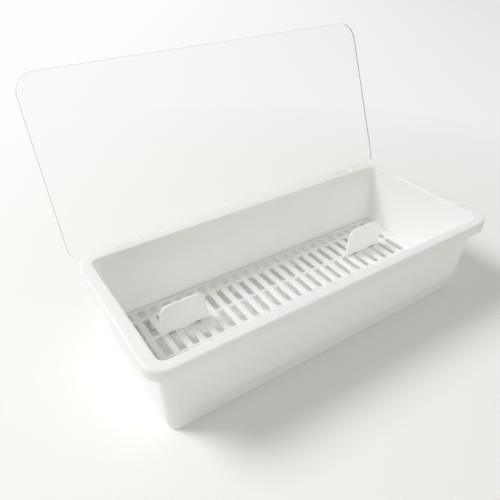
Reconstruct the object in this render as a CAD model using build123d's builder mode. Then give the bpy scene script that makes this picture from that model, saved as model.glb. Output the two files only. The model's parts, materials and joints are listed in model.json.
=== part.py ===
"""Covered flatware tray: a white rimmed case with a clear lid hinged on its back rim, and a slotted
drainer plate with two upright dividers inside.

Millimetres, +Z up. X runs along the tray and +Y to the hinge side. The origin is the middle of the
case's flat base. The lid is modelled open, leaning back on its stop.
"""
from build123d import *
import os
from math import cos, radians, sin, tan

os.makedirs("parts", exist_ok=True)

# Case
rim_length = 280.0
rim_width = 124.0
case_height = 66.4
rim_breadth = 7.9
rim_end_breadth = 9.0
rim_corner_radius = 14.0
rim_edge_radius = 1.8
rim_inner_edge_radius = 0.9
flange_thickness = 2.0
skirt_depth = 8.1
skirt_wall = 1.6
wall = 2.0
wall_corner_radius = 7.6
side_draft_angle = 4.4
end_draft_angle = 3.5
floor_thickness = 2.0
base_edge_radius = 2.5
floor_edge_radius = 2.5

# Hinge
hinge_spacing = 200.0
pocket_width = 18.6
pocket_depth = 4.9
cheek_thickness = 1.6
pin_radius = 1.4
pin_inset = 1.5
pin_drop = 3.55
pin_clearance = 0.08
hook_wall = 1.1
hook_side_gap = 0.6
hook_mouth_angle = 120.0
heel_length = 1.7
stop_gap = 0.1
open_angle = 112.0

# Lid
lid_thickness = 1.8
lid_seat_gap = 0.1
lid_corner_radius = 14.0
lid_end_overhang = 1.1
lid_back_overhang = 1.0
lid_front_overhang = 2.3
lid_edge_radius = 0.5

# Drainer plate
plate_level = 14.8
plate_thickness = 2.2
plate_gap = 0.6
plate_lip_depth = 2.6
plate_lip_wall = 1.8
slot_pitch = 10.1
slot_width = 5.3
end_margin = 4.0
rib_width = 2.4
rib_pitch = 22.0
lane_rib_offset = 15.4
side_margin = 3.4
foot_size = 4.0
foot_bars_from_end = (2, 9)

# Dividers
divider_foot_length = 39.2
divider_top_length = 33.4
divider_height = 25.4
divider_thickness = 1.8
divider_corner_radius = 7.0
divider_edge_chamfer = 0.4
divider_slots_from_end = 4
tongue_spacing_slots = 2
tongue_clearance = 0.15
barb_height = 1.4
barb_reach = 0.4
barb_gap = 0.1

side_draft_run = tan(radians(side_draft_angle))
end_draft_run = tan(radians(end_draft_angle))
wall_top_length = rim_length - 2 * (rim_end_breadth - wall)
wall_top_width = rim_width - 2 * (rim_breadth - wall)


def wall_section(height, inset=0.0):
    """Length and width of the case's outer wall at a height, moved in by an inset."""
    drop = case_height - height
    return (wall_top_length - 2 * (drop * end_draft_run + inset),
            wall_top_width - 2 * (drop * side_draft_run + inset))


def drafted_block(bottom, top, inset=0.0):
    """A solid block between two heights whose four sides lean as the case's walls do, moved in by an
    inset, with its upright corners rounded about the same centres."""
    low_length, low_width = wall_section(bottom, inset)
    high_length, high_width = wall_section(top, inset)
    with BuildPart() as block:
        with BuildSketch(Plane.YZ):
            Polygon((-low_width / 2, bottom), (low_width / 2, bottom), (high_width / 2, top),
                    (-high_width / 2, top), align=None)
        extrude(amount=high_length / 2, both=True)
        with BuildSketch(Plane.XZ):
            Polygon((-low_length / 2, bottom), (low_length / 2, bottom), (high_length / 2, top),
                    (-high_length / 2, top), align=None)
        extrude(amount=high_width / 2, both=True, mode=Mode.INTERSECT)
        upright_edges = block.edges().filter_by(lambda edge: edge.bounding_box().size.Z > (top - bottom) / 2)
        fillet(upright_edges, radius=wall_corner_radius - inset)
    return block.part


# Places of the hinge: the pin axis, the pocket's inner face and the two pockets along the rim
rim_back = rim_width / 2
pin_y = rim_back - pin_inset
pin_z = case_height - pin_drop
pocket_y = rim_back - pocket_depth
hinge_places = (-hinge_spacing / 2, hinge_spacing / 2)
skirt_bottom = case_height - skirt_depth
wall_middle_y = wall_section(skirt_bottom, wall / 2)[1] / 2
bracket_height = skirt_depth - flange_thickness / 2

with BuildPart() as case:
    # Tapered body, drafted outward all the way up
    add(drafted_block(0, case_height))
    fillet(case.faces().sort_by(Axis.Z)[0].edges(), radius=base_edge_radius)

    # Turned-over rim: a flat flange with a skirt round its edge
    with BuildSketch(Plane.XY.offset(case_height)):
        RectangleRounded(rim_length, rim_width, rim_corner_radius)
    extrude(amount=-flange_thickness)
    with BuildSketch(Plane.XY.offset(case_height)):
        RectangleRounded(rim_length, rim_width, rim_corner_radius)
        offset(amount=-skirt_wall, kind=Kind.INTERSECTION, mode=Mode.SUBTRACT)
    extrude(amount=-skirt_depth)
    fillet(case.faces().sort_by(Axis.Z)[-1].edges(), radius=rim_edge_radius)

    # Brackets that close the rim round each hinge pocket, from the wall out to the skirt
    for x in hinge_places:
        with BuildSketch(Plane.XY.offset(skirt_bottom)):
            with Locations((x, (wall_middle_y + rim_back - skirt_wall / 2) / 2)):
                Rectangle(pocket_width + 2 * cheek_thickness, rim_back - skirt_wall / 2 - wall_middle_y)
        extrude(amount=bracket_height)

    # Cavity, a constant wall inside the body
    add(drafted_block(floor_thickness, case_height, wall), mode=Mode.SUBTRACT)
    floor_edges = case.edges().filter_by_position(Axis.Z, floor_thickness, floor_thickness)
    fillet(floor_edges, radius=floor_edge_radius)
    rim_inner_edges = case.faces().sort_by(Axis.Z)[-1].inner_wires()[0].edges()
    fillet(rim_inner_edges, radius=rim_inner_edge_radius)

    # Hinge pockets, open to the back, and the pin moulded across each
    for x in hinge_places:
        with BuildSketch(Plane.XY.offset(case_height)):
            with Locations((x, pocket_y)):
                Rectangle(pocket_width, 2 * pocket_depth, align=(Align.CENTER, Align.MIN))
        extrude(amount=-2 * skirt_depth, mode=Mode.SUBTRACT)
        with BuildSketch(Plane.YZ.offset(x)):
            with Locations((pin_y, pin_z)):
                Circle(pin_radius)
        extrude(amount=pocket_width / 2 + cheek_thickness / 2, both=True)
case.part.label = "case"
export_step(case.part, "parts/case.step")

# The lid's own frame: origin on the pin axis, y to the back and z up when the lid is closed, here
# turned back by the opening angle
swing = radians(open_angle)
lid_frame = Plane(origin=(0, pin_y, pin_z), x_dir=(1, 0, 0), z_dir=(0, sin(swing), cos(swing)))
hook_frame = Plane(origin=(0, pin_y, pin_z), x_dir=lid_frame.y_dir, z_dir=(1, 0, 0))
lid_underside = pin_drop + lid_seat_gap
lid_length = rim_length + 2 * lid_end_overhang
lid_width = rim_width + lid_front_overhang + lid_back_overhang
lid_back = pin_inset + lid_back_overhang
bore_radius = pin_radius + pin_clearance
hook_radius = bore_radius + hook_wall
heel_reach = pocket_depth - pin_inset - stop_gap
mouth_turn = Location((0, 0, 0), (0, 0, open_angle - 90))
mouth_depth = hook_radius + lid_underside + lid_thickness
mouth_side = mouth_depth * tan(radians(hook_mouth_angle / 2))

with BuildPart() as lid:
    # Flat sheet with rounded corners, standing past the rim all round
    with BuildSketch(lid_frame.offset(lid_underside)):
        with Locations((0, lid_back - lid_width / 2)):
            RectangleRounded(lid_length, lid_width, lid_corner_radius)
    extrude(amount=lid_thickness)
    broad_faces = lid.faces().sort_by(SortBy.AREA)[-2:]
    fillet(broad_faces.edges(), radius=lid_edge_radius)

    # Hooks: a C round the pin whose mouth looks down when the lid is open, on an arm from the
    # sheet, with a flat heel that meets the pocket's inner face as the stop
    for x in hinge_places:
        with BuildSketch(hook_frame.offset(x)):
            Circle(hook_radius)
            with Locations((-hook_radius, 0)):
                Rectangle(2 * hook_radius, lid_underside + lid_thickness / 2, align=(Align.MIN, Align.MIN))
            with Locations(mouth_turn):
                Polygon((0, 0), (mouth_depth, mouth_side), (mouth_depth, -mouth_side),
                        align=None, mode=Mode.SUBTRACT)
                with Locations((0, -heel_reach)):
                    Rectangle(heel_length, heel_reach - bore_radius - hook_wall / 2,
                              align=(Align.MIN, Align.MIN))
            Circle(bore_radius, mode=Mode.SUBTRACT)
        extrude(amount=pocket_width / 2 - hook_side_gap, both=True)
lid.part.label = "lid"
export_step(lid.part, "parts/lid.step")

# Drainer plate: its outline follows the case walls with a gap, and rows of slots lie between the
# ribs that run along it
plate_bottom = plate_level - plate_thickness
lip_bottom = plate_bottom - plate_lip_depth
plate_inset = wall + plate_gap
plate_length, plate_width = wall_section(lip_bottom, plate_inset)
plate_top_width = wall_section(plate_level, plate_inset)[1]
plate_corner_radius = wall_corner_radius - plate_inset
slot_columns = int((plate_length - 2 * end_margin) / slot_pitch)
rib_places = [lane_rib_offset + step * rib_pitch for step in (1, 0, -1, -2)]
row_backs = [plate_top_width / 2 - side_margin] + [rib - rib_width / 2 for rib in rib_places]
row_fronts = [rib + rib_width / 2 for rib in rib_places] + [-plate_top_width / 2 + side_margin]

with BuildPart() as drainer_plate:
    add(drafted_block(lip_bottom, plate_level, plate_inset))
    with BuildSketch(Plane.XY.offset(lip_bottom)):
        RectangleRounded(plate_length - 2 * plate_lip_wall, plate_width - 2 * plate_lip_wall,
                         plate_corner_radius - plate_lip_wall)
    extrude(amount=plate_lip_depth, mode=Mode.SUBTRACT)

    # Slots across the plate, one row between each two ribs
    with BuildSketch(Plane.XY.offset(plate_level)):
        for back, front in zip(row_backs, row_fronts):
            with Locations((0, (back + front) / 2)):
                with GridLocations(slot_pitch, 0, slot_columns, 1):
                    Rectangle(slot_width, back - front)
    extrude(amount=-plate_thickness, mode=Mode.SUBTRACT)

    # Feet under the bars where the outer ribs cross them, down to the case's floor
    with BuildSketch(Plane.XY.offset(plate_bottom)):
        for bar in foot_bars_from_end:
            foot_x = (slot_columns / 2 - bar) * slot_pitch
            with Locations(*[(x, rib) for x in (-foot_x, foot_x) for rib in (rib_places[0], rib_places[-1])]):
                Rectangle(foot_size, foot_size)
    extrude(amount=floor_thickness - plate_bottom)
drainer_plate.part.label = "drainer_plate"
export_step(drainer_plate.part, "parts/drainer_plate.step")


# Places of the dividers: just in front of the lane rib, each middle on a slot, with a tongue in the
# slots on both sides of it
divider_x = (slot_columns / 2 - divider_slots_from_end + 0.5) * slot_pitch
divider_y = lane_rib_offset - (rib_width + divider_thickness) / 2 - tongue_clearance
tongue_length = slot_width - 2 * tongue_clearance
tongue_spacing = tongue_spacing_slots * slot_pitch
tongue_places = (-tongue_spacing / 2, tongue_spacing / 2)


def make_divider(centre, label):
    """An upright plate with drafted sides and rounded top corners, on two tongues that plug into the
    plate's slots and catch under its bars."""
    upright = Plane(origin=(centre, divider_y, plate_level), x_dir=(1, 0, 0), z_dir=(0, -1, 0))
    with BuildPart() as divider:
        with BuildSketch(upright) as outline:
            with BuildLine():
                Polyline((-divider_foot_length / 2, 0), (-divider_top_length / 2, divider_height),
                         (divider_top_length / 2, divider_height), (divider_foot_length / 2, 0),
                         close=True)
            make_face()
            fillet(outline.vertices().group_by(Axis.Y)[-1], radius=divider_corner_radius)
        extrude(amount=divider_thickness / 2, both=True)
        outline_edges = divider.faces().filter_by(Axis.Y).edges()
        edges_above_foot = outline_edges.filter_by(
            lambda edge: edge.center().Z > plate_level + divider_edge_chamfer)
        chamfer(edges_above_foot, length=divider_edge_chamfer)

        # Tongues through the slots, each with a barb on both sides below the plate
        barb_top = -plate_thickness - barb_gap
        barb_tip = barb_top - barb_height
        barb_half = tongue_length / 2 + tongue_clearance + barb_reach
        with BuildSketch(upright):
            with Locations(*[(place, 0) for place in tongue_places]):
                Polygon((-tongue_length / 2, 0), (tongue_length / 2, 0), (tongue_length / 2, barb_top),
                        (barb_half, barb_top), (tongue_length / 2, barb_tip),
                        (-tongue_length / 2, barb_tip), (-barb_half, barb_top),
                        (-tongue_length / 2, barb_top), align=None)
        extrude(amount=divider_thickness / 2, both=True)
    divider.part.label = label
    return divider


divider_left = make_divider(-divider_x, "divider_left")
export_step(divider_left.part, "parts/divider_left.step")
divider_right = make_divider(divider_x, "divider_right")
export_step(divider_right.part, "parts/divider_right.step")
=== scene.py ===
"""Looks of the covered flatware tray: a white moulded case, a clear lid on its back rim, a slotted
drainer plate and two upright dividers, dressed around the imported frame.

Metres, +Z up, in the frame's axes: X runs along the tray and +Y to the hinge side.
"""
import json
from math import atan2, cos, pi, radians, sin, tan

import bmesh
import bpy
import numpy as np
from bpy.props import FloatProperty, FloatVectorProperty, IntProperty, PointerProperty
from bpy.types import Operator, Panel, PropertyGroup
from mathutils import Matrix, Vector


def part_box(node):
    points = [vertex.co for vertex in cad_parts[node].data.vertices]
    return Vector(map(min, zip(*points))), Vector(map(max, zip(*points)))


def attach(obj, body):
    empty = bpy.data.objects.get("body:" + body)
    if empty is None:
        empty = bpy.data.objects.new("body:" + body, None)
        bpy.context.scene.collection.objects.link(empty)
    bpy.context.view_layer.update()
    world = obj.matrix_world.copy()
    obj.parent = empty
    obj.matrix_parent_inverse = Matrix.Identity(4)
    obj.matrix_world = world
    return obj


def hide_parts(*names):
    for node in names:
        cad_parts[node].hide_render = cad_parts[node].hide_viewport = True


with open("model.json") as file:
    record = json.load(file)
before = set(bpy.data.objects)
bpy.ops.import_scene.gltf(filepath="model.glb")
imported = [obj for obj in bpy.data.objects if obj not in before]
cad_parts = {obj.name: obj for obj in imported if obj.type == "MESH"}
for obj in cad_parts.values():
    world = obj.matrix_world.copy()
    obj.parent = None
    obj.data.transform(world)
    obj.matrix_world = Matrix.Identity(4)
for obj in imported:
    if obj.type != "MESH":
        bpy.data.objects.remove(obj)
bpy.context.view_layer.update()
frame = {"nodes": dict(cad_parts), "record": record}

bl_info = {
    "name": "Covered flatware tray",
    "version": (1, 0, 0),
    "blender": (4, 5, 0),
    "location": "3D View > Sidebar > Tray",
    "description": "Finishes a lidded flatware tray with a slotted drainer plate and dividers",
    "category": "Add Mesh",
}

PLATE_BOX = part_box("drainer_plate")
DIVIDERS = ("divider_left", "divider_right")
LID_JOINT = next(joint for joint in frame["record"]["behaviour"]["joints"] if joint["child"] == "lid")
PIN_PLACE = tuple(LID_JOINT["pos_m"])
CASE_FLOOR = 0.002
MERGE_DISTANCE = 0.000002
# A ring of points this many edge roundings in from a rounded edge keeps the level face beside it flat
FLAT_MARGIN = 1.6
# The bars between slots, counted in from each end of the plate, whose ribs carry feet
FOOT_BARS = (2, 9)
# Faces that meet at more than this angle keep a crisp edge
CRISP_ANGLE = radians(40)
SENSOR_WIDTH = 36.0
PLASTIC_IOR = 1.49
# Noise values between which nearly all of a noise lies
NOISE_SPAN = (0.3, 0.7)
# Sizes of the features in the materials, and depths of their relief
FLOW_SIZE, DRIFT_SIZE, SCUFF_SIZE = 0.045, 0.018, 0.0012
RIPPLE_SIZE, RIPPLE_DEPTH, GRAIN_DEPTH = 0.006, 0.00006, 0.00002
HAZE_SIZE, WAVE_SIZE, WAVE_DEPTH = 0.03, 0.06, 0.0001
PAPER_SIZE = 0.4


def length_property(name, description, default):
    """A size in metres."""
    return FloatProperty(name=name, description=description, default=default, min=0.0, unit="LENGTH")


def share_property(name, description, default):
    """A number from 0 to 1."""
    return FloatProperty(name=name, description=description, default=default, min=0.0, max=1.0,
                         subtype="FACTOR")


def colour_property(name, description, default):
    """A linear colour."""
    return FloatVectorProperty(name=name, description=description, default=default, size=3,
                               min=0.0, max=1.0, subtype="COLOR")


def pair_property(name, description, default, unit="NONE"):
    """Two numbers that belong together."""
    return FloatVectorProperty(name=name, description=description, default=default, size=2, unit=unit)


def place_property(name, description, default):
    """A place in metres."""
    return FloatVectorProperty(name=name, description=description, default=default, size=3, unit="LENGTH")


def angle_property(name, description, degrees):
    """An angle, given in degrees and kept in radians."""
    return FloatProperty(name=name, description=description, default=radians(degrees), unit="ROTATION")


class TrayFinish(PropertyGroup):
    """Colours and finishes of the three plastics."""
    case_colour: colour_property("Case colour", "White of the moulded case", (0.972, 0.976, 0.962))
    insert_colour: colour_property("Insert colour", "White of the drainer plate and dividers",
                                   (0.972, 0.974, 0.96))
    lid_colour: colour_property("Lid tint", "Faint tint of the clear lid at its hooks", (0.985, 0.99, 0.985))
    lid_far_colour: colour_property("Lid far tint", "Faint tint of the clear lid at its free edge",
                                    (0.965, 0.97, 0.965))
    lid_shade: colour_property("Lid shade", "Light that each face of the lid lets past", (0.92, 0.925, 0.92))
    lid_fade: pair_property("Lid fade", "Reach from the pins where the far tint starts, and where it is "
                            "whole", (0.04, 0.12), "LENGTH")
    # The lid's edge greys are painted shade, for the dark line that its edges show
    lid_end_shade: colour_property("Lid end tint", "Grey of the lid's two short edges", (0.35, 0.37, 0.36))
    lid_edge_shade: colour_property("Lid edge tint", "Grey of the lid's long edges", (0.15, 0.16, 0.155))
    case_roughness: share_property("Case roughness", "Satin gloss of the case", 0.38)
    insert_roughness: share_property("Insert roughness", "Satin gloss of the insert", 0.42)
    lid_roughness: share_property("Lid roughness", "Gloss of the clear lid", 0.03)
    case_glow: length_property("Case glow", "Reach of light inside the case's plastic", 0.0025)
    insert_glow: length_property("Insert glow", "Reach of light inside the insert's plastic", 0.004)
    hook_reach: length_property("Hook reach", "Reach of the lid's hooks round the pins", 0.006)
    hook_haze: share_property("Hook haze", "Extra roughness of the hooks", 0.5)
    end_haze: share_property("End haze", "Extra roughness of the lid's right-hand edge", 0.6)
    case_scuffs: share_property("Case scuffs", "Strength of the thin scuffs on the case", 0.6)
    insert_scuffs: share_property("Insert scuffs", "Strength of the thin scuffs on the insert", 0.4)
    grain_size: length_property("Grain size", "Spacing of the mould's fine grain", 0.0007)
    edge_radius: length_property("Edge radius", "Softening of the moulded edges", 0.0004)


class TrayPlate(PropertyGroup):
    """Sizes of the slotted drainer plate."""
    thickness: length_property("Plate thickness", "Thickness of the slotted sheet", 0.0022)
    lip_depth: length_property("Lip depth", "Depth of the lip below the sheet", 0.0026)
    lip_wall: length_property("Lip wall", "Thickness of the lip", 0.0018)
    corner: length_property("Plate corner", "Radius of the plate's upright corners", 0.005)
    side_draft: angle_property("Side draft", "Lean of the long sides", 4.4)
    end_draft: angle_property("End draft", "Lean of the ends", 3.5)
    columns: IntProperty(name="Slots in a row", description="Slots along the plate", default=24, min=1)
    pitch: length_property("Slot pitch", "Spacing of the slots along the plate", 0.0101)
    slot_width: length_property("Slot width", "Width of a slot along the plate", 0.0053)
    slot_corner: length_property("Slot corner", "Radius of a slot's corners", 0.0009)
    soft_edge: length_property("Soft edge", "Rounding of the upper edges", 0.0006)
    rib_width: length_property("Rib width", "Width of a rib along the plate", 0.0024)
    rib_pitch: length_property("Rib pitch", "Spacing of the ribs across the plate", 0.022)
    lane_rib: length_property("Lane rib", "Place across the plate of the rib behind the dividers", 0.0154)
    side_margin: length_property("Side margin", "Plain strip along the long sides", 0.0034)
    lip_soft: length_property("Lip softening", "Rounding of the lip's lower edges", 0.00036)
    foot_size: length_property("Foot size", "Side of a foot", 0.004)
    foot_corner: length_property("Foot corner", "Radius of a foot's upright corners", 0.0008)
    foot_soft: length_property("Foot softening", "Rounding of a foot's lower edge", 0.000333)


class TrayDivider(PropertyGroup):
    """Sizes of a divider."""
    height: length_property("Divider height", "Height above the plate", 0.0254)
    top_length: length_property("Divider top", "Length along the top before its corners", 0.0334)
    corner: length_property("Divider corner", "Radius of the upper corners", 0.007)
    foot_corner: length_property("Divider foot corner", "Radius of the lower corners", 0.001105)
    soft_edge: length_property("Divider edge", "Rounding of the edges", 0.00065)
    tongue_width: length_property("Tongue width", "Width of a tongue", 0.005)
    tongue_spacing: length_property("Tongue spacing", "Spacing of the two tongues", 0.0202)
    barb_height: length_property("Barb height", "Height of a tongue's barb", 0.0014)
    barb_reach: length_property("Barb reach", "Reach of a barb past its tongue", 0.00055)


class TrayStage(PropertyGroup):
    """Camera, floor and light."""
    azimuth: angle_property("Azimuth", "Camera's turn about Z, from straight in front", -33.445)
    elevation: angle_property("Elevation", "Camera's height angle", 34.805)
    roll: angle_property("Roll", "Camera's turn about its own axis", -0.236)
    distance: length_property("Distance", "Camera's distance from its aim", 0.41102)
    aim: place_property("Aim", "Point on the camera's axis", (-0.00531, 0.05007, 0.030))
    lens: FloatProperty(name="Lens", description="Focal length on a 36 mm sensor, in millimetres",
                        default=36.24, min=1.0)
    offset: pair_property("Picture offset", "Lens axis off the picture's middle, in shares of its width",
                          (-0.0007, -0.0029))
    floor_colour: colour_property("Floor colour", "Pale floor", (0.985, 0.985, 0.975))
    floor_size: length_property("Floor size", "Side of the square floor", 12.0)
    # The far floor's two tones are painted light, falling off from the left to the right
    sweep_tones: pair_property("Sweep tones", "Tone of the far floor at the left and at the right",
                               (0.985, 0.79))
    sweep_reach: pair_property("Sweep reach", "Distance at which the far floor's tone starts, and at which "
                               "it is whole", (0.25, 0.5), "LENGTH")
    sweep_way: FloatVectorProperty(name="Sweep way", description="Level direction of the far floor's tones",
                                   size=3, default=(0.8, -0.6, 0.0))
    sweep_span: pair_property("Sweep span", "Places along that direction of the far floor's two tones",
                              (-0.4, 0.6), "LENGTH")
    key_power: FloatProperty(name="Key power", description="Power of the soft lamp", default=27.5, min=0.0,
                             unit="POWER")
    key_size: length_property("Key size", "Width of the soft lamp", 0.97)
    key_place: place_property("Key place", "Soft lamp's place, behind and to the left", (-1.15, 0.86, 1.665))
    sky_colour: colour_property("Room colour", "Colour of the room's light", (1.0, 1.0, 0.95))
    sky_low: pair_property("Low light", "Strength of the room's light low on the left and low on the right",
                           (0.28, 0.64))
    sky_overhead: share_property("Overhead light", "Strength of the room's light from overhead", 0.46)
    sky_turn: share_property("Room turn", "Share of a direction's X over which the low light goes from left "
                             "to right, each way", 0.4)
    sky_height: pair_property("Room height", "Share of a direction's Z where the light from overhead starts, "
                              "and where it is whole", (0.35, 0.55))
    backdrop_tone: share_property("Backdrop tone", "Pale tone of the sweep round the tray", 0.93)
    bounces: IntProperty(name="Bounces", description="Bounces of light between the white walls", default=12,
                         min=4)


def set_inputs(node, values):
    """Sets a node's sockets by name."""
    for name, value in values.items():
        node.inputs[name].default_value = value


def add_node(tree, kind, inputs=None, **settings):
    """A node of a kind with its settings and its sockets' values."""
    node = tree.nodes.new(kind)
    for name, value in settings.items():
        setattr(node, name, value)
    set_inputs(node, inputs or {})
    return node


def add_noise(tree, place, size, detail=2.0, roughness=0.5):
    """A noise whose features are about size metres across."""
    noise = add_node(tree, "ShaderNodeTexNoise",
                     {"Scale": 1.0 / size, "Detail": detail, "Roughness": roughness})
    tree.links.new(place, noise.inputs["Vector"])
    return noise.outputs["Fac"]


def add_range(tree, value, low, high, to_low, to_high):
    """Maps a value from one range to another, held at its ends."""
    mapped = add_node(tree, "ShaderNodeMapRange",
                      {"From Min": low, "From Max": high, "To Min": to_low, "To Max": to_high})
    tree.links.new(value, mapped.inputs["Value"])
    return mapped.outputs["Result"]


def add_maths(tree, operation, *values):
    """A maths node on sockets and plain numbers."""
    maths = add_node(tree, "ShaderNodeMath", operation=operation)
    for socket, value in zip(maths.inputs, values):
        if isinstance(value, (int, float)):
            socket.default_value = value
        else:
            tree.links.new(value, socket)
    return maths.outputs[0]


def add_blend(tree, factor, first, second):
    """Blends two colours, each a socket or a plain colour, by a factor."""
    blend = add_node(tree, "ShaderNodeMix", data_type="RGBA")
    tree.links.new(factor, blend.inputs["Factor"])
    for name, colour in (("A", first), ("B", second)):
        if isinstance(colour, bpy.types.NodeSocket):
            tree.links.new(colour, blend.inputs[name])
        else:
            blend.inputs[name].default_value = (*colour, 1.0)
    return blend.outputs["Result"]


def add_seen(tree):
    """1 for what the camera sees, also by reflection or through the lid, and 0 for light that falls on
    the tray."""
    path = add_node(tree, "ShaderNodeLightPath").outputs
    return add_maths(tree, "MAXIMUM", path["Is Camera Ray"],
                     add_maths(tree, "MAXIMUM", path["Is Glossy Ray"], path["Is Transmission Ray"]))


def moulded_surface_group():
    """Node group for injection-moulded plastic. Faint flow marks tint the colour, a soft ripple and a
    fine grain give the normal, gloss drifts with a slow noise, thin scuffs run along X, and edges, found
    where a bevelled normal leaves the true one, are more polished and paler: the paleness is a painted
    highlight for the light that rounded edges catch."""
    group = bpy.data.node_groups.get("MouldedSurface")
    if group:
        return group
    group = bpy.data.node_groups.new("MouldedSurface", "ShaderNodeTree")
    face = group.interface
    face.new_socket("Colour", in_out="INPUT", socket_type="NodeSocketColor")
    for name in ("Roughness", "Grain Size", "Edge Radius", "Scuffs"):
        face.new_socket(name, in_out="INPUT", socket_type="NodeSocketFloat")
    face.new_socket("Colour", in_out="OUTPUT", socket_type="NodeSocketColor")
    face.new_socket("Roughness", in_out="OUTPUT", socket_type="NodeSocketFloat")
    face.new_socket("Normal", in_out="OUTPUT", socket_type="NodeSocketVector")
    entry = add_node(group, "NodeGroupInput")
    leave = add_node(group, "NodeGroupOutput")
    place = add_node(group, "ShaderNodeTexCoord").outputs["Object"]
    link = group.links.new

    # Edges: a mask from the bevelled normal
    bevel = add_node(group, "ShaderNodeBevel", samples=6)
    link(entry.outputs["Edge Radius"], bevel.inputs["Radius"])
    true_normal = add_node(group, "ShaderNodeNewGeometry").outputs["Normal"]
    alike = add_node(group, "ShaderNodeVectorMath", operation="DOT_PRODUCT")
    link(bevel.outputs["Normal"], alike.inputs[0])
    link(true_normal, alike.inputs[1])
    edge = add_range(group, alike.outputs["Value"], 0.995, 0.85, 0.0, 1.0)

    # Colour: slow flow marks, and paler edges that are a painted highlight
    flow = add_noise(group, place, FLOW_SIZE, detail=3.0)
    flow_tint = add_range(group, flow, *NOISE_SPAN, 0.975, 1.0)
    # Painted highlight: edges are made up to 2 percent paler, for the light that rounded edges catch
    painted_edge_tone = add_range(group, edge, 0.0, 1.0, 1.0, 1.02)
    tint = add_maths(group, "MULTIPLY", flow_tint, painted_edge_tone)
    colour = add_node(group, "ShaderNodeVectorMath", operation="SCALE")
    link(entry.outputs["Colour"], colour.inputs[0])
    link(tint, colour.inputs["Scale"])
    link(colour.outputs[0], leave.inputs["Colour"])

    # Scuffs: a noise drawn out along X, kept where it peaks
    stretch = add_node(group, "ShaderNodeMapping", {"Rotation": (0.0, 0.0, radians(7)),
                                                    "Scale": (0.02, 1.0, 1.0)})
    link(place, stretch.inputs["Vector"])
    streak = add_noise(group, stretch.outputs[0], SCUFF_SIZE, detail=4.0)
    scuff = add_maths(group, "MULTIPLY", add_range(group, streak, 0.62, 0.72, 0.0, 1.0),
                      entry.outputs["Scuffs"])

    # Gloss: a slow drift, rougher in scuffs and more polished on edges
    drift = add_range(group, add_noise(group, place, DRIFT_SIZE), *NOISE_SPAN, -0.05, 0.05)
    rough = add_maths(group, "ADD", entry.outputs["Roughness"], drift)
    rough = add_maths(group, "ADD", rough, add_maths(group, "MULTIPLY", scuff, 0.12))
    rough = add_maths(group, "SUBTRACT", rough, add_maths(group, "MULTIPLY", edge, 0.06))
    link(rough, leave.inputs["Roughness"])

    # Relief: ripple, then the mould's grain and the scuffs, on the bevelled normal
    ripple = add_node(group, "ShaderNodeBump", {"Strength": 0.35, "Distance": RIPPLE_DEPTH})
    link(add_noise(group, place, RIPPLE_SIZE, detail=1.0), ripple.inputs["Height"])
    link(bevel.outputs["Normal"], ripple.inputs["Normal"])
    grain = add_node(group, "ShaderNodeTexNoise", {"Detail": 2.0})
    link(add_maths(group, "DIVIDE", 1.0, entry.outputs["Grain Size"]), grain.inputs["Scale"])
    link(place, grain.inputs["Vector"])
    height = add_maths(group, "SUBTRACT", grain.outputs["Fac"], scuff)
    relief = add_node(group, "ShaderNodeBump", {"Strength": 0.25, "Distance": GRAIN_DEPTH})
    link(height, relief.inputs["Height"])
    link(ripple.outputs["Normal"], relief.inputs["Normal"])
    link(relief.outputs["Normal"], leave.inputs["Normal"])
    return group


def white_plastic(name, colour, roughness, glow, scuffs, finish):
    """Satin white moulded plastic that light soaks into, as deep as glow, and comes through warmer."""
    material = bpy.data.materials.new(name)
    material.use_nodes = True
    tree = material.node_tree
    shader = tree.nodes["Principled BSDF"]
    set_inputs(shader, {
        "Subsurface Weight": 1.0,
        "Subsurface Radius": (1.0, 0.97, 0.85),
        "Subsurface Scale": glow,
        "IOR": PLASTIC_IOR,
    })
    surface = add_node(tree, "ShaderNodeGroup", node_tree=moulded_surface_group())
    set_inputs(surface, {
        "Colour": (*colour, 1.0),
        "Roughness": roughness,
        "Grain Size": finish.grain_size,
        "Edge Radius": finish.edge_radius,
        "Scuffs": scuffs,
    })
    tree.links.new(surface.outputs["Colour"], shader.inputs["Base Color"])
    tree.links.new(surface.outputs["Roughness"], shader.inputs["Roughness"])
    tree.links.new(surface.outputs["Normal"], shader.inputs["Normal"])
    return material


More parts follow.
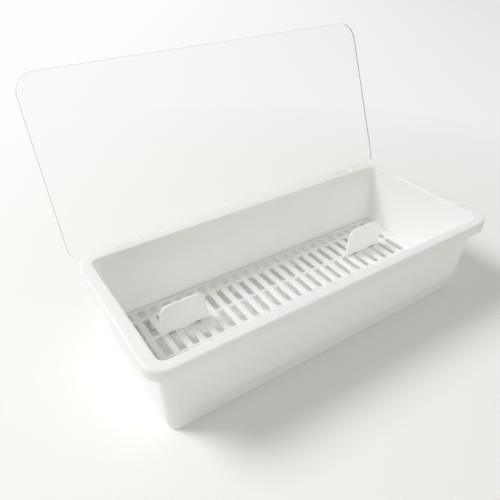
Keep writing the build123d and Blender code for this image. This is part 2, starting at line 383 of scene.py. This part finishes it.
def clear_plastic(finish):
    """Clear moulded sheet: glassy faces with a faint haze and a tint that grows away from the pins, and
    a darker edge, painted shade for the dark line that the sheet's edges show, found by how far a face
    turns from the sheet's own plane. The hooks, which lie within a reach of the pins, have no dark edge
    and are hazier."""
    material = bpy.data.materials.new("clear_sheet")
    material.use_nodes = True
    tree = material.node_tree
    link = tree.links.new
    shader = tree.nodes["Principled BSDF"]
    set_inputs(shader, {"Transmission Weight": 1.0, "IOR": PLASTIC_IOR})
    coordinates = add_node(tree, "ShaderNodeTexCoord")
    place = coordinates.outputs["Object"]

    lid_angle = radians(LID_JOINT["range_deg"][1])
    facing = add_node(tree, "ShaderNodeVectorMath", operation="DOT_PRODUCT")
    link(coordinates.outputs["Normal"], facing.inputs[0])
    facing.inputs[1].default_value = (0.0, sin(lid_angle), cos(lid_angle))
    edge = add_range(tree, add_maths(tree, "ABSOLUTE", facing.outputs["Value"]), 0.95, 0.6, 0.0, 1.0)
    offset = add_node(tree, "ShaderNodeVectorMath", operation="SUBTRACT")
    link(place, offset.inputs[0])
    offset.inputs[1].default_value = PIN_PLACE
    flat = add_node(tree, "ShaderNodeVectorMath", operation="MULTIPLY")
    link(offset.outputs[0], flat.inputs[0])
    flat.inputs[1].default_value = (0.0, 1.0, 1.0)
    reach = add_node(tree, "ShaderNodeVectorMath", operation="LENGTH")
    link(flat.outputs[0], reach.inputs[0])
    sheet = add_range(tree, reach.outputs["Value"], finish.hook_reach, finish.hook_reach * 1.2, 0.0, 1.0)
    edge = add_maths(tree, "MULTIPLY", edge, sheet)
    sideways = add_node(tree, "ShaderNodeSeparateXYZ")
    link(coordinates.outputs["Normal"], sideways.inputs[0])
    end = add_range(tree, add_maths(tree, "ABSOLUTE", sideways.outputs["X"]), 0.3, 0.9, 0.0, 1.0)
    # Painted shade: the edges are grey, paler at the two short ends, for the dark line the sheet's edges show
    painted_edge_tone = add_blend(tree, end, finish.lid_edge_shade, finish.lid_end_shade)
    far = add_range(tree, reach.outputs["Value"], *finish.lid_fade, 0.0, 1.0)
    face_tint = add_blend(tree, far, finish.lid_colour, finish.lid_far_colour)
    link(add_blend(tree, edge, face_tint, painted_edge_tone), shader.inputs["Base Color"])

    haze = add_range(tree, add_noise(tree, place, HAZE_SIZE, detail=4.0), 0.35, 0.75, 0.0, 0.035)
    rough = add_maths(tree, "ADD", haze, finish.lid_roughness)
    soft_end = add_range(tree, sideways.outputs["X"], 0.95, 0.99, 0.0, finish.end_haze)
    rough = add_maths(tree, "ADD", rough, add_maths(tree, "MULTIPLY", edge, soft_end))
    hook = add_maths(tree, "MULTIPLY", add_maths(tree, "SUBTRACT", 1.0, sheet), finish.hook_haze)
    rough = add_maths(tree, "ADD", rough, hook)
    link(rough, shader.inputs["Roughness"])
    wave = add_node(tree, "ShaderNodeBump", {"Strength": 0.2, "Distance": WAVE_DEPTH})
    link(add_noise(tree, place, WAVE_SIZE, detail=1.0), wave.inputs["Height"])
    link(wave.outputs["Normal"], shader.inputs["Normal"])

    # Lamps and diffuse light pass straight through the sheet, as through a thin clear wall
    path = add_node(tree, "ShaderNodeLightPath").outputs
    through = add_node(tree, "ShaderNodeBsdfTransparent", {"Color": (*finish.lid_shade, 1.0)})
    blend = add_node(tree, "ShaderNodeMixShader")
    link(add_maths(tree, "MAXIMUM", path["Is Shadow Ray"], path["Is Diffuse Ray"]), blend.inputs["Fac"])
    link(shader.outputs[0], blend.inputs[1])
    link(through.outputs[0], blend.inputs[2])
    link(blend.outputs[0], tree.nodes["Material Output"].inputs["Surface"])
    return material


def dress(names, material):
    """Gives CAD nodes a material."""
    for name in names:
        node = frame["nodes"][name]
        node.data.materials.clear()
        node.data.materials.append(material)


def soft_profile(edge, steps=3):
    """Rounding between a level top and an upright side. At each angle a of a quarter turn, the distance
    from the side is edge times (1 - sin a) and the drop below the top is edge times (1 - cos a)."""
    angle = np.linspace(0.0, pi / 2, steps + 1)
    return edge * (1.0 - np.sin(angle)), edge * (1.0 - np.cos(angle))


def corner_turns(steps=4):
    """Outward directions round a rounded rectangle, as (cos a, sin a) in equal steps over each corner's
    quarter turn, and the signs of each corner's place."""
    quarter = np.linspace(0.0, pi / 2, steps + 1)
    angle = (np.arange(4)[:, None] * pi / 2 + quarter).ravel()
    signs = np.repeat(np.array([(1, 1), (-1, 1), (-1, -1), (1, -1)]), steps + 1, axis=0)
    return np.stack([np.cos(angle), np.sin(angle)], axis=1), signs


def band_faces(rings, points, copies=1):
    """Four-sided faces between neighbouring closed rings, for copies of the same stack of rings."""
    ring, point = np.meshgrid(np.arange(rings - 1), np.arange(points), indexing="ij")
    after = (point + 1) % points
    quads = np.stack([ring * points + point, ring * points + after,
                      (ring + 1) * points + after, (ring + 1) * points + point], axis=-1).reshape(-1, 4)
    starts = np.arange(copies) * rings * points
    return (starts[:, None, None] + quads).reshape(-1, 4)


def make_piece(name, parts, body, node, material):
    """Joins closed surfaces, given as (points, faces), into one piece that stands for a CAD node."""
    start, faces = 0, []
    for points, groups in parts:
        for group in groups:
            faces += (np.asarray(group) + start).tolist()
        start += len(points)
    mesh = bpy.data.meshes.new(name)
    mesh.from_pydata(np.concatenate([points for points, _ in parts]).tolist(), [], faces)
    shell = bmesh.new()
    shell.from_mesh(mesh)
    bmesh.ops.remove_doubles(shell, verts=shell.verts, dist=MERGE_DISTANCE)
    bmesh.ops.recalc_face_normals(shell, faces=shell.faces)
    shell.to_mesh(mesh)
    shell.free()
    mesh.shade_smooth()
    mesh.set_sharp_from_angle(angle=CRISP_ANGLE)
    mesh.materials.append(material)
    piece = bpy.data.objects.new(name, mesh)
    bpy.context.scene.collection.objects.link(piece)
    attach(piece, body)
    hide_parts(node)
    return piece


def slot_rows(plate, half_width):
    """Middle and half length of each row of slots across the plate, from the back. Rows lie between the
    ribs, which stand at the lane rib plus 1, 0, -1 and -2 rib pitches."""
    ribs = plate.lane_rib + plate.rib_pitch * np.array([1, 0, -1, -2])
    backs = np.concatenate([[half_width - plate.side_margin], ribs - plate.rib_width / 2])
    fronts = np.concatenate([ribs + plate.rib_width / 2, [plate.side_margin - half_width]])
    return (backs + fronts) / 2, (backs - fronts) / 2


def slot_cells(plate, top, middles, halves):
    """The slotted sheet as cells that tile it, one a slot. Round each slot run rings: corner centre plus
    (corner radius plus the profile's distance) times the outward direction, at the top less the
    profile's drop. The first and last ring lie on the cell's own rectangle, which a point reaches along
    x or y, whichever its direction is nearer to."""
    turns, signs = corner_turns()
    away, drop = soft_profile(plate.soft_edge)
    away = np.concatenate([[FLAT_MARGIN * plate.soft_edge], away, [0.0]])
    drop = np.concatenate([[0.0], drop, [plate.thickness]])
    half = np.stack([np.full_like(halves, plate.slot_width / 2), halves], axis=1)
    rings = (signs * (half - plate.slot_corner)[:, None, None, :]
             + turns * (plate.slot_corner + away)[None, :, None, None])
    cell = signs * np.stack([np.full_like(halves, plate.pitch / 2), halves + plate.rib_width / 2],
                            axis=1)[:, None, :]
    near = np.abs(turns) >= np.abs(turns[:, ::-1]) - MERGE_DISTANCE
    border = np.where(near, cell, rings[:, 0])
    rings = np.concatenate([border[:, None], rings, border[:, None]], axis=1)
    height = top - np.concatenate([[0.0], drop, [plate.thickness]])
    middle_x = (np.arange(plate.columns) - (plate.columns - 1) / 2) * plate.pitch
    rows, count, around = rings.shape[:3]
    points = np.empty((rows, plate.columns, count, around, 3))
    points[..., 0] = rings[:, None, :, :, 0] + middle_x[None, :, None, None]
    points[..., 1] = rings[:, None, :, :, 1] + middles[:, None, None, None]
    points[..., 2] = height[:, None]
    faces = band_faces(count, around, rows * plate.columns)
    return points, faces


def plate_border(plate, top, half_top, cells, steps=5):
    """The plain border, rounded edge and lip round the slotted sheet. Each point has a share of the way
    to the corner's centre and an outward direction, so that a rounded outline is the share times (half
    size less radius) plus the radius times the direction. The sides lean in by the tangent of the draft
    times the depth. The first and last ring lie on the slotted sheet's own edge."""
    high = cells[:, :, 0]
    reach = high[..., :2].reshape(-1, 2).max(axis=0)
    xs = np.unique(np.round(high[0][high[0, ..., 1] > reach[1] - MERGE_DISTANCE][:, 0], 8))
    ys = np.unique(np.round(high[:, 0][high[:, 0, :, 0] < MERGE_DISTANCE - reach[0]][:, 1], 8))
    turn = np.linspace(0.0, pi / 2, steps + 1)[1:-1]
    shares, ways = [], []
    for quarter, run in enumerate((ys, xs[::-1], ys[::-1], xs)):
        ahead = np.array([cos(quarter * pi / 2), sin(quarter * pi / 2)]).round()
        side = np.array([-ahead[1], ahead[0]])
        along = np.abs(side) * (run / reach[1 - quarter % 2])[:, None]
        shares += [ahead + along, np.tile(ahead + side, (len(turn), 1))]
        arc = np.cos(turn)[:, None] * ahead + np.sin(turn)[:, None] * side
        ways += [np.tile(ahead, (len(run), 1)), arc]
    share, way = np.concatenate(shares), np.concatenate(ways)

    away, drop = soft_profile(plate.soft_edge)
    depth = plate.thickness + plate.lip_depth
    soft = plate.lip_soft
    inset = np.concatenate([[FLAT_MARGIN * plate.soft_edge], away,
                            [0.0, soft, plate.lip_wall - soft, plate.lip_wall, plate.lip_wall]])
    drop = np.concatenate([[0.0], drop, [depth - soft, depth, depth, depth - soft, plate.thickness]])
    draft = np.array([tan(plate.end_draft), tan(plate.side_draft)])
    half = half_top - drop[:, None] * draft - inset[:, None]
    radius = (plate.corner - inset)[:, None, None]
    rings = share * (half[:, None, :] - radius) + radius * way
    inner = (share * reach)[None]
    rings = np.concatenate([inner, rings, inner])
    height = top - np.concatenate([[0.0], drop, [plate.thickness]])
    levels = np.broadcast_to(height[:, None, None], rings.shape[:2] + (1,))
    points = np.concatenate([rings, levels], axis=2)
    return points.reshape(-1, 3), [band_faces(len(rings), len(share))]


def plate_feet(plate, top, half_width):
    """Feet under the outer ribs, from just inside the sheet down to the case's floor: rounded squares in
    rings, closed by a flat face at each end."""
    turns, signs = corner_turns(2)
    radius, soft = plate.foot_corner, plate.foot_soft
    inset = np.array([0.0, 0.0, soft])[:, None, None]
    level = np.array([top - plate.thickness * 0.9, CASE_FLOOR + soft, CASE_FLOOR])
    rings = signs * (plate.foot_size / 2 - radius) + turns * (radius - inset)
    bars = (plate.columns / 2 - np.array(FOOT_BARS)) * plate.pitch
    ribs = plate.lane_rib + plate.rib_pitch * np.array([1, -2])
    x, y = (axis.ravel() for axis in np.meshgrid(np.concatenate([-bars, bars]), ribs))
    count, around = rings.shape[:2]
    points = np.empty((len(x), count, around, 3))
    points[..., 0] = rings[..., 0] + x[:, None, None]
    points[..., 1] = rings[..., 1] + y[:, None, None]
    points[..., 2] = level[:, None]
    index = np.arange(len(x) * count * around).reshape(len(x), count, around)
    return points.reshape(-1, 3), [band_faces(count, around, len(x)), index[:, 0], index[:, -1]]


def divider_sheet(divider, box, steps=8):
    """An upright sheet with leaning ends and rounded upper corners. Each corner is an arc whose radius
    loses the profile's distance from the edge, so the rings keep the outline's form, and the sheet's
    thickness follows the same profile from each face."""
    low, high = box
    middle = (low.x + high.x) / 2
    foot = high.z - divider.height
    half_foot = (high.x - low.x) / 2
    lean = atan2(half_foot - divider.top_length / 2, divider.height)
    away, drop = soft_profile(divider.soft_edge)
    away = np.concatenate([[FLAT_MARGIN * divider.soft_edge], away])
    drop = np.concatenate([[0.0], drop])
    inset = np.concatenate([away, away[::-1]])
    depth = np.concatenate([low.y + drop, (high.y - drop)[::-1]])

    small, large = divider.foot_corner, divider.corner
    radii = np.array([small, large, large, small])
    centre_z = np.array([small, divider.height - large, divider.height - large, small])
    centre_x = half_foot - (radii + centre_z * sin(lean)) / cos(lean)
    centre_x *= np.array([1, 1, -1, -1])
    first = np.array([-pi / 2, lean, pi / 2, pi - lean])
    last = np.array([lean, pi / 2, pi - lean, 3 * pi / 2])
    angle = first[:, None] + (last - first)[:, None] * np.linspace(0.0, 1.0, steps + 1)
    reach = radii[:, None, None] - inset
    x = middle + centre_x[:, None, None] + np.cos(angle)[..., None] * reach
    z = foot + centre_z[:, None, None] + np.sin(angle)[..., None] * reach
    x, z = (axis.reshape(-1, len(inset)).T for axis in (x, z))
    points = np.stack([x, np.broadcast_to(depth[:, None], x.shape), z], axis=-1)
    index = np.arange(x.size).reshape(x.shape)
    return points.reshape(-1, 3), [band_faces(*x.shape), index[:1], index[-1:]]


def divider_tongues(divider, box, plate):
    """Two tongues from inside the sheet's foot down through the plate's slots, each a profile with a barb
    at both sides, carried straight through the sheet's thickness."""
    low, high = box
    foot = high.z - divider.height
    half = divider.tongue_width / 2
    barb_top = low.z + divider.barb_height
    tip = half + divider.barb_reach
    side_x = np.array([half, half, tip, half])
    side_z = np.array([foot + plate.soft_edge, barb_top, barb_top, low.z])
    outline_x = np.concatenate([side_x, -side_x[::-1]])
    outline_z = np.concatenate([side_z, side_z[::-1]])
    middle = (low.x + high.x) / 2 + np.array([-0.5, 0.5]) * divider.tongue_spacing
    points = np.empty((2, 2, len(outline_x), 3))
    points[..., 0] = middle[:, None, None] + outline_x
    points[..., 1] = np.array([low.y, high.y])[:, None]
    points[..., 2] = outline_z
    index = np.arange(4 * len(outline_x)).reshape(4, -1)
    return points.reshape(-1, 3), [band_faces(2, len(outline_x), 2), index]


class TRAY_OT_case(Operator):
    """Finish the moulded case"""
    bl_idname = "tray.case"
    bl_label = "Case"

    def execute(self, context):
        finish = context.scene.tray_finish
        dress(["case"], white_plastic("moulded_case", finish.case_colour, finish.case_roughness,
                                      finish.case_glow, finish.case_scuffs, finish))
        return {"FINISHED"}


class TRAY_OT_lid(Operator):
    """Finish the clear lid"""
    bl_idname = "tray.lid"
    bl_label = "Lid"

    def execute(self, context):
        dress(["lid"], clear_plastic(context.scene.tray_finish))
        return {"FINISHED"}


def insert_plastic(finish):
    """The insert's white plastic, made once."""
    return bpy.data.materials.get("moulded_insert") or white_plastic(
        "moulded_insert", finish.insert_colour, finish.insert_roughness, finish.insert_glow,
        finish.insert_scuffs, finish)


class TRAY_OT_plate(Operator):
    """Build the slotted drainer plate"""
    bl_idname = "tray.plate"
    bl_label = "Drainer plate"

    def execute(self, context):
        plate = context.scene.tray_plate
        low, high = PLATE_BOX
        half_top = np.array([high.x, high.y])
        middles, halves = slot_rows(plate, high.y)
        cells, faces = slot_cells(plate, high.z, middles, halves)
        parts = [(cells.reshape(-1, 3), [faces]), plate_border(plate, high.z, half_top, cells),
                 plate_feet(plate, high.z, high.y)]
        make_piece("drainer", parts, "drainer", "drainer_plate", insert_plastic(context.scene.tray_finish))
        return {"FINISHED"}


class TRAY_OT_dividers(Operator):
    """Build the two dividers that plug into the plate"""
    bl_idname = "tray.dividers"
    bl_label = "Dividers"

    def execute(self, context):
        scene = context.scene
        for node in DIVIDERS:
            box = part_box(node)
            parts = [divider_sheet(scene.tray_divider, box),
                     divider_tongues(scene.tray_divider, box, scene.tray_plate)]
            make_piece(node.replace("divider", "upright"), parts, "drainer", node,
                       insert_plastic(scene.tray_finish))
        return {"FINISHED"}


def floor_material(stage):
    """Matt pale paper with a very slow tone drift. Far from the tray, what is seen of it is the plain
    tone of a wide bright sweep, given as an emission that is painted light: brighter on the left and
    falling off to the right."""
    material = bpy.data.materials.new("floor_paper")
    material.use_nodes = True
    tree = material.node_tree
    link = tree.links.new
    shader = tree.nodes["Principled BSDF"]
    set_inputs(shader, {"Roughness": 0.85, "Specular IOR Level": 0.2})
    place = add_node(tree, "ShaderNodeTexCoord").outputs["Object"]
    drift = add_range(tree, add_noise(tree, place, PAPER_SIZE), *NOISE_SPAN, 0.985, 1.0)
    tint = add_node(tree, "ShaderNodeVectorMath", operation="SCALE")
    tint.inputs[0].default_value = stage.floor_colour
    link(drift, tint.inputs["Scale"])
    link(tint.outputs[0], shader.inputs["Base Color"])

    # Painted light: far from the tray the floor glows, brighter on the left and falling off to the right
    across = add_node(tree, "ShaderNodeVectorMath", operation="DOT_PRODUCT")
    link(place, across.inputs[0])
    across.inputs[1].default_value = stage.sweep_way
    sweep_tone = add_range(tree, across.outputs["Value"], *stage.sweep_span, *stage.sweep_tones)
    sweep = add_node(tree, "ShaderNodeEmission")
    link(sweep_tone, sweep.inputs["Color"])
    away = add_node(tree, "ShaderNodeVectorMath", operation="LENGTH")
    link(place, away.inputs[0])
    far = add_range(tree, away.outputs["Value"], *stage.sweep_reach, 0.0, 1.0)
    blend = add_node(tree, "ShaderNodeMixShader")
    link(add_maths(tree, "MULTIPLY", far, add_seen(tree)), blend.inputs["Fac"])
    link(shader.outputs[0], blend.inputs[1])
    link(sweep.outputs[0], blend.inputs[2])
    link(blend.outputs[0], tree.nodes["Material Output"].inputs["Surface"])
    return material


def surround(stage):
    """A soft room light from overhead, and from low down on the right, where a pale board faces the lamp.
    The camera, reflections and the clear lid see the backdrop's own pale tone."""
    world = bpy.data.worlds.new("surround")
    world.use_nodes = True
    tree = world.node_tree
    link = tree.links.new
    way = add_node(tree, "ShaderNodeSeparateXYZ")
    link(add_node(tree, "ShaderNodeTexCoord").outputs["Generated"], way.inputs[0])
    low = add_range(tree, way.outputs["X"], -stage.sky_turn, stage.sky_turn, *stage.sky_low)
    height = add_range(tree, way.outputs["Z"], *stage.sky_height, 0.0, 1.0)
    light = add_maths(tree, "ADD", add_maths(tree, "MULTIPLY", height, stage.sky_overhead),
                      add_maths(tree, "MULTIPLY", add_maths(tree, "SUBTRACT", 1.0, height), low))
    strength = add_node(tree, "ShaderNodeMix", data_type="FLOAT")
    link(add_seen(tree), strength.inputs["Factor"])
    link(light, strength.inputs["A"])
    strength.inputs["B"].default_value = stage.backdrop_tone
    background = tree.nodes["Background"]
    background.inputs["Color"].default_value = (*stage.sky_colour, 1.0)
    link(strength.outputs["Result"], background.inputs["Strength"])
    return world


def camera_axes(stage):
    """The camera's right, up and back directions, from its azimuth, elevation and roll."""
    back = Vector((sin(stage.azimuth) * cos(stage.elevation),
                   -cos(stage.azimuth) * cos(stage.elevation),
                   sin(stage.elevation)))
    level = Vector((0.0, 0.0, 1.0)).cross(back).normalized()
    upright = back.cross(level)
    right = level * cos(stage.roll) + upright * sin(stage.roll)
    return right, back.cross(right), back


class TRAY_OT_stage(Operator):
    """Set up the floor, the soft light and the camera"""
    bl_idname = "tray.stage"
    bl_label = "Stage"

    def execute(self, context):
        scene = context.scene
        stage = scene.tray_stage
        link = scene.collection.objects.link
        half = stage.floor_size / 2
        mesh = bpy.data.meshes.new("floor")
        mesh.from_pydata([(-half, -half, 0), (half, -half, 0), (half, half, 0), (-half, half, 0)], [],
                         [(0, 1, 2, 3)])
        floor = bpy.data.objects.new("floor", mesh)
        mesh.materials.append(floor_material(stage))
        link(floor)

        lamp = bpy.data.lights.new("key", "AREA")
        lamp.shape = "DISK"
        lamp.size = stage.key_size
        lamp.energy = stage.key_power
        key = bpy.data.objects.new("key", lamp)
        key.location = stage.key_place
        key.rotation_euler = Vector(stage.key_place).to_track_quat("Z", "Y").to_euler()
        link(key)

        scene.world = surround(stage)

        camera_data = bpy.data.cameras.new("camera")
        camera_data.lens = stage.lens
        camera_data.sensor_width = SENSOR_WIDTH
        camera_data.shift_x, camera_data.shift_y = stage.offset
        camera = bpy.data.objects.new("camera", camera_data)
        right, up, back = camera_axes(stage)
        turn = Matrix((right, up, back)).transposed().to_4x4()
        camera.matrix_world = Matrix.Translation(Vector(stage.aim) + back * stage.distance) @ turn
        link(camera)
        scene.camera = camera
        scene.view_settings.view_transform = "Standard"
        scene.cycles.diffuse_bounces = stage.bounces
        scene.cycles.max_bounces = 2 * stage.bounces
        return {"FINISHED"}


class TRAY_PT_panel(Panel):
    """Tray panel in the sidebar"""
    bl_label = "Flatware tray"
    bl_idname = "TRAY_PT_panel"
    bl_space_type = "VIEW_3D"
    bl_region_type = "UI"
    bl_category = "Tray"

    def draw(self, context):
        for operator in OPERATORS:
            self.layout.operator(operator.bl_idname)
        scene = context.scene
        for settings in (scene.tray_finish, scene.tray_plate, scene.tray_divider, scene.tray_stage):
            for name in settings.bl_rna.properties.keys():
                if name not in ("rna_type", "name"):
                    self.layout.prop(settings, name)


OPERATORS = (TRAY_OT_case, TRAY_OT_lid, TRAY_OT_plate, TRAY_OT_dividers, TRAY_OT_stage)
CLASSES = (TrayFinish, TrayPlate, TrayDivider, TrayStage, *OPERATORS, TRAY_PT_panel)


def register():
    for each in CLASSES:
        bpy.utils.register_class(each)
    bpy.types.Scene.tray_finish = PointerProperty(type=TrayFinish)
    bpy.types.Scene.tray_plate = PointerProperty(type=TrayPlate)
    bpy.types.Scene.tray_divider = PointerProperty(type=TrayDivider)
    bpy.types.Scene.tray_stage = PointerProperty(type=TrayStage)


def unregister():
    del bpy.types.Scene.tray_stage
    del bpy.types.Scene.tray_divider
    del bpy.types.Scene.tray_plate
    del bpy.types.Scene.tray_finish
    for each in reversed(CLASSES):
        bpy.utils.unregister_class(each)


def main():
    """Builds everything."""
    register()
    bpy.ops.tray.case()
    bpy.ops.tray.lid()
    bpy.ops.tray.plate()
    bpy.ops.tray.dividers()
    bpy.ops.tray.stage()


if __name__ == "__main__":
    main()
